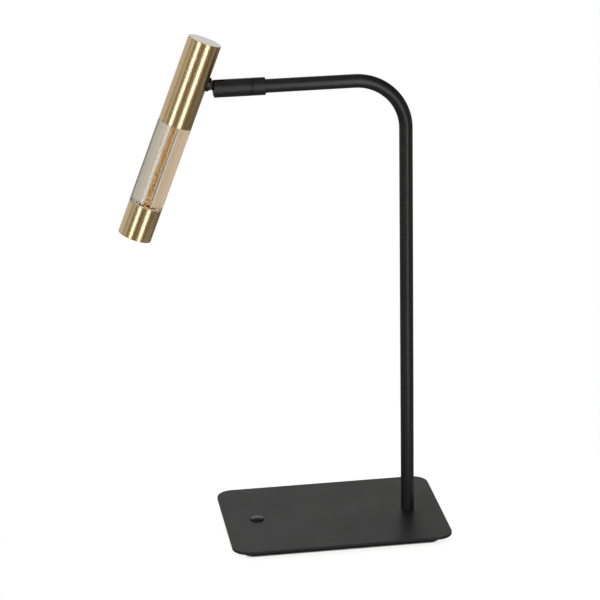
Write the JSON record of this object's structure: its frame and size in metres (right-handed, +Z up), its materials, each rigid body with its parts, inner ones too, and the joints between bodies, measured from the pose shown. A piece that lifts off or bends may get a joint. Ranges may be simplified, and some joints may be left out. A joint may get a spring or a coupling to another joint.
{
  "type": "table lamp",
  "caption": "Slim reading lamp: flat rectangular base with push button, one bent tube as stem and arm, swivel knuckle, round tilting head of brass and clear acrylic.",
  "frame": {"origin": "centre of the pad's underside, on which the lamp rests", "axes": "+Z up, +X from the button towards the stem so the arm reaches back along -X, +Y to the rear"},
  "size_m": [0.2854, 0.14, 0.4662],
  "materials": {
    "black_paint": "fine matt powder coat, black",
    "black_nylon": "moulded nylon, black",
    "satin_brass": "satin brass, brushed along the length",
    "clear_acrylic": "clear cast acrylic with tiny bubbles",
    "clear_lens": "clear moulded acrylic",
    "copper": "bare stranded copper in a clear sleeve",
    "zinc_steel": "zinc plated steel",
    "ballast_steel": "plain rolled steel",
    "pad_foam": "closed-cell rubber sheet",
    "grommet_rubber": "soft moulded rubber",
    "board_green": "glass-fibre circuit board",
    "board_parts": "moulded electronic parts",
    "socket_white": "moulded nylon",
    "lead_sheath": "soft lead sheath",
    "washer_nylon": "acetal",
    "button_finish": "black anodised, dished and turned",
    "heat_aluminium": "machined",
    "led_phosphor": "phosphor over the light source",
    "holder_white": "moulded polycarbonate"
  },
  "bodies": {
    "base": {"floor_pad": "pad_foam", "bottom_tray": "black_paint", "ballast_plate": "ballast_steel", "top_plate": "black_paint", "plate_bosses": "zinc_steel", "tray_screws": "zinc_steel", "cord_grommet": "grommet_rubber", "dimmer_board": "board_green", "dimmer_parts": "board_parts", "board_spacers": "socket_white", "board_screws": "zinc_steel", "tact_switch": "board_parts", "lead_socket": "socket_white", "supply_socket": "socket_white", "stem_tube": "black_paint", "stem_ferrule": "zinc_steel", "stem_washer": "zinc_steel", "stem_nut": "zinc_steel", "stem_lead": "lead_sheath", "arm_collar": "black_paint", "swivel_spigot": "zinc_steel", "swivel_ring": "black_nylon", "stop_pin": "zinc_steel"},
    "button": {"button_cap": "button_finish", "switch_plunger": "socket_white"},
    "knuckle": {"swivel_sleeve": "black_paint", "pivot_screw": "black_paint", "friction_washers": "washer_nylon", "grub_screw": "zinc_steel"},
    "head": {"hinge_tongue": "black_paint", "stud_flange": "black_paint", "stud_nut": "zinc_steel", "head_tube": "satin_brass", "clear_cylinder": "clear_acrylic", "copper_leads": "copper", "lower_ring": "satin_brass", "driver_board": "board_green", "driver_parts": "board_parts", "head_lead": "lead_sheath", "heat_spreader": "heat_aluminium", "led_board": "socket_white", "led_chip": "led_phosphor", "lens_holder": "holder_white", "lens": "clear_lens", "bezel": "black_paint"}
  },
  "joints": [
    {"name": "button_press", "type": "slide", "parent": "base", "child": "button", "axis": [0, 0, -1], "range_m": [0, 0.0007], "stiffness_N_per_m": 2500},
    {"name": "head_swivel", "type": "hinge", "parent": "base", "child": "knuckle", "pos_m": [-0.0733, 0, 0.418], "axis": [1, 0, 0], "range_deg": [-165, 165]},
    {"name": "head_tilt", "type": "hinge", "parent": "knuckle", "child": "head", "pos_m": [-0.0924, 0, 0.418], "axis": [0, 1, 0], "range_deg": [-96.4, 68.6]}
  ]
}
